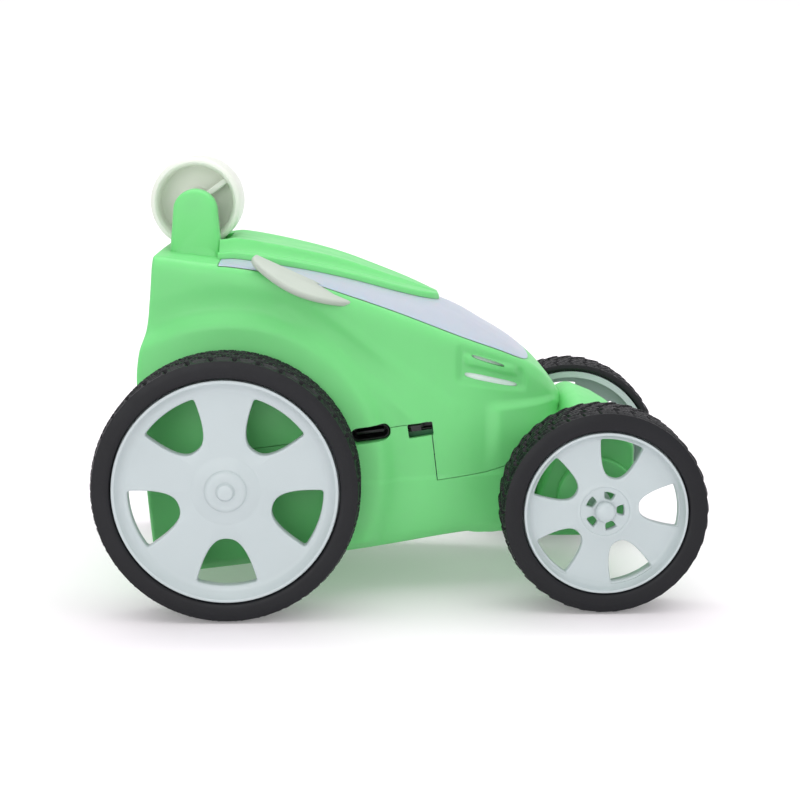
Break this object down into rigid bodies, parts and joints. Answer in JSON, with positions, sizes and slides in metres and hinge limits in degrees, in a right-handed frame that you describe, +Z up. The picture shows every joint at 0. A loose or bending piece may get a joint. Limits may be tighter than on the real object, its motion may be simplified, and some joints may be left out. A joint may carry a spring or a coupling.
{
  "type": "toy stunt car",
  "caption": "Battery stunt car: green moulded shell with a milky light cover, two large driven rear wheels, two smaller free front wheels and a tail roller on a fork.",
  "frame": {"origin": "on the ground, in the middle of the footprint between the ends of the tyres", "axes": "+X forwards, the long way of the car; +Y to its left; +Z up"},
  "size_m": [0.1432, 0.1006, 0.1053],
  "materials": {
    "green_plastic": "satin",
    "milky_plastic": "translucent satin",
    "tyre_rubber": "matt",
    "black_plastic": "satin",
    "gear_plastic": "satin",
    "board_laminate": "solder mask",
    "battery_sleeve": "shrink sleeve",
    "steel": "plated",
    "brass": "turned"
  },
  "bodies": {
    "car_body": {"chassis": "green_plastic", "upper_shell": "green_plastic", "roof_panel": "green_plastic", "front_axle_housing": "green_plastic", "light_cover": "milky_plastic", "fin_right": "milky_plastic", "fin_left": "milky_plastic", "vent_diffuser_right": "milky_plastic", "vent_diffuser_left": "milky_plastic", "front_wheel_pin_right": "milky_plastic", "front_wheel_pin_left": "milky_plastic", "reduction_shaft_right": "steel", "motor_right": "steel", "gear_frame_right": "black_plastic", "led_right": "milky_plastic", "reduction_shaft_left": "steel", "motor_left": "steel", "gear_frame_left": "black_plastic", "led_left": "milky_plastic", "tail_roller_pin": "steel", "battery": "battery_sleeve", "circuit_board": "board_laminate", "usb_c_port": "steel", "power_switch_body": "black_plastic", "case_screw_1": "steel", "case_screw_2": "steel", "case_screw_3": "steel", "case_screw_4": "steel", "housing_screw_1": "steel", "housing_screw_2": "steel"},
    "rear_wheel_right": {"rear_rim_right": "milky_plastic", "rear_tyre_right": "tyre_rubber", "rear_axle_right": "steel", "drive_gear_right": "gear_plastic"},
    "front_wheel_right": {"front_rim_right": "milky_plastic", "front_tyre_right": "tyre_rubber"},
    "reduction_right": {"reduction_gear_right": "gear_plastic"},
    "motor_rotor_right": {"motor_pinion_right": "brass", "motor_shaft_right": "steel"},
    "rear_wheel_left": {"rear_rim_left": "milky_plastic", "rear_tyre_left": "tyre_rubber", "rear_axle_left": "steel", "drive_gear_left": "gear_plastic"},
    "front_wheel_left": {"front_rim_left": "milky_plastic", "front_tyre_left": "tyre_rubber"},
    "reduction_left": {"reduction_gear_left": "gear_plastic"},
    "motor_rotor_left": {"motor_pinion_left": "brass", "motor_shaft_left": "steel"},
    "roller": {"tail_roller": "milky_plastic"},
    "switch_knob": {"power_switch_slider": "black_plastic"}
  },
  "joints": [
    {"name": "rear_wheel_right_spin", "type": "hinge", "parent": "car_body", "child": "rear_wheel_right", "pos_m": [-0.04065, -0.0423, 0.031], "axis": [0, 1, 0], "continuous": true},
    {"name": "reduction_right_spin", "type": "hinge", "parent": "car_body", "child": "reduction_right", "pos_m": [-0.02645, -0.0227, 0.0256], "axis": [0, 1, 0], "continuous": true},
    {"name": "motor_right_spin", "type": "hinge", "parent": "car_body", "child": "motor_rotor_right", "pos_m": [-0.01175, -0.02, 0.0294], "axis": [0, 1, 0], "continuous": true},
    {"name": "front_wheel_right_spin", "type": "hinge", "parent": "car_body", "child": "front_wheel_right", "pos_m": [0.04735, -0.0369, 0.0243], "axis": [0, 1, 0], "continuous": true},
    {"name": "rear_wheel_left_spin", "type": "hinge", "parent": "car_body", "child": "rear_wheel_left", "pos_m": [-0.04065, 0.0423, 0.031], "axis": [0, 1, 0], "continuous": true},
    {"name": "reduction_left_spin", "type": "hinge", "parent": "car_body", "child": "reduction_left", "pos_m": [-0.02645, 0.0227, 0.0256], "axis": [0, 1, 0], "continuous": true},
    {"name": "motor_left_spin", "type": "hinge", "parent": "car_body", "child": "motor_rotor_left", "pos_m": [-0.01175, 0.02, 0.0294], "axis": [0, 1, 0], "continuous": true},
    {"name": "front_wheel_left_spin", "type": "hinge", "parent": "car_body", "child": "front_wheel_left", "pos_m": [0.04735, 0.0369, 0.0243], "axis": [0, 1, 0], "continuous": true},
    {"name": "tail_roller_spin", "type": "hinge", "parent": "car_body", "child": "roller", "pos_m": [-0.05015, 0, 0.0942], "axis": [0, 1, 0], "continuous": true},
    {"name": "power_switch_slide", "type": "slide", "parent": "car_body", "child": "switch_knob", "axis": [0.9914, 0, 0.1305], "range_m": [0, 0.002]}
  ],
  "couplings": [
    {"joint": "reduction_right_spin", "follows": "rear_wheel_right_spin", "ratio": -2.8},
    {"joint": "motor_right_spin", "follows": "rear_wheel_right_spin", "ratio": 7.84},
    {"joint": "reduction_left_spin", "follows": "rear_wheel_left_spin", "ratio": -2.8},
    {"joint": "motor_left_spin", "follows": "rear_wheel_left_spin", "ratio": 7.84}
  ]
}
